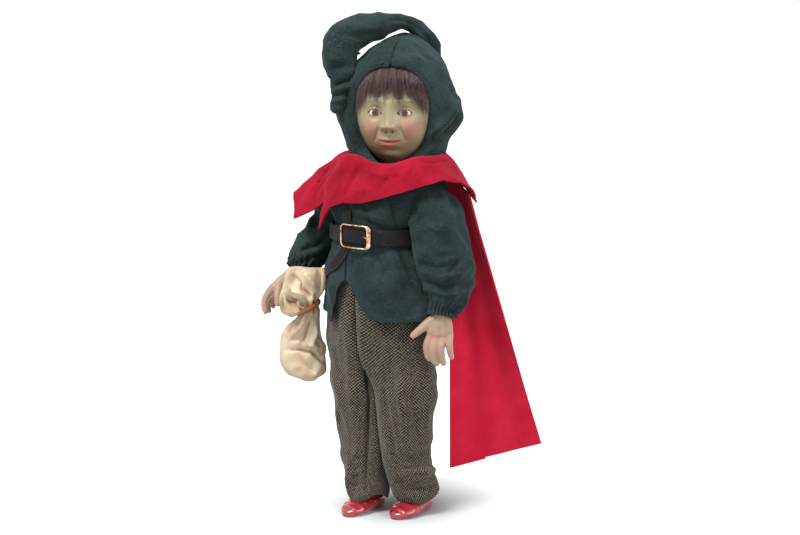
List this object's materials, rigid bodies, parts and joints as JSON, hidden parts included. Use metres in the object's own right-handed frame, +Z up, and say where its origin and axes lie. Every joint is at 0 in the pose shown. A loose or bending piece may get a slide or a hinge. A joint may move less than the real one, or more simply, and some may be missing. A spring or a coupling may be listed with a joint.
{
  "type": "elf figurine",
  "caption": "Dressed elf figurine with a pointed hood, belted jacket, tweed trousers, red cape and collar, and a small drawstring pouch.",
  "frame": {"origin": "middle of the bounding box's floor, on the plane of the shoe soles", "axes": "+Z up, the figurine's front towards -Y, its left side towards +X"},
  "size_m": [0.1726, 0.1846, 0.3955],
  "materials": {
    "painted_skin": "satin paint on a cast body",
    "eye_glass": "glossy",
    "brown_mohair": "soft fibre",
    "green_wool": "brushed wool",
    "charcoal_leather": "suede",
    "antique_brass": "antiqued",
    "cream_suede": "suede",
    "rust_braid": "braided cord",
    "brown_tweed": "woven tweed",
    "red_felt": "felt",
    "red_shoe": "glossy paint on a cast body",
    "stuffed_calico": "plain cloth"
  },
  "bodies": {
    "root": {"head": "painted_skin", "left_eye": "eye_glass", "right_eye": "eye_glass", "wig": "brown_mohair", "hood": "green_wool", "hood_tail": "green_wool", "jacket": "green_wool", "belt": "charcoal_leather", "buckle_frame": "antique_brass", "buckle_prong": "antique_brass", "pouch_strap": "charcoal_leather", "pouch": "cream_suede", "pouch_tie": "rust_braid", "trousers": "brown_tweed", "cape": "red_felt", "collar": "red_felt", "left_hand": "painted_skin", "right_hand": "painted_skin", "left_foot": "red_shoe", "right_foot": "red_shoe", "torso": "stuffed_calico", "left_upper_arm": "stuffed_calico", "right_upper_arm": "stuffed_calico", "left_thigh": "stuffed_calico", "right_thigh": "stuffed_calico"}
  },
  "joints": []
}
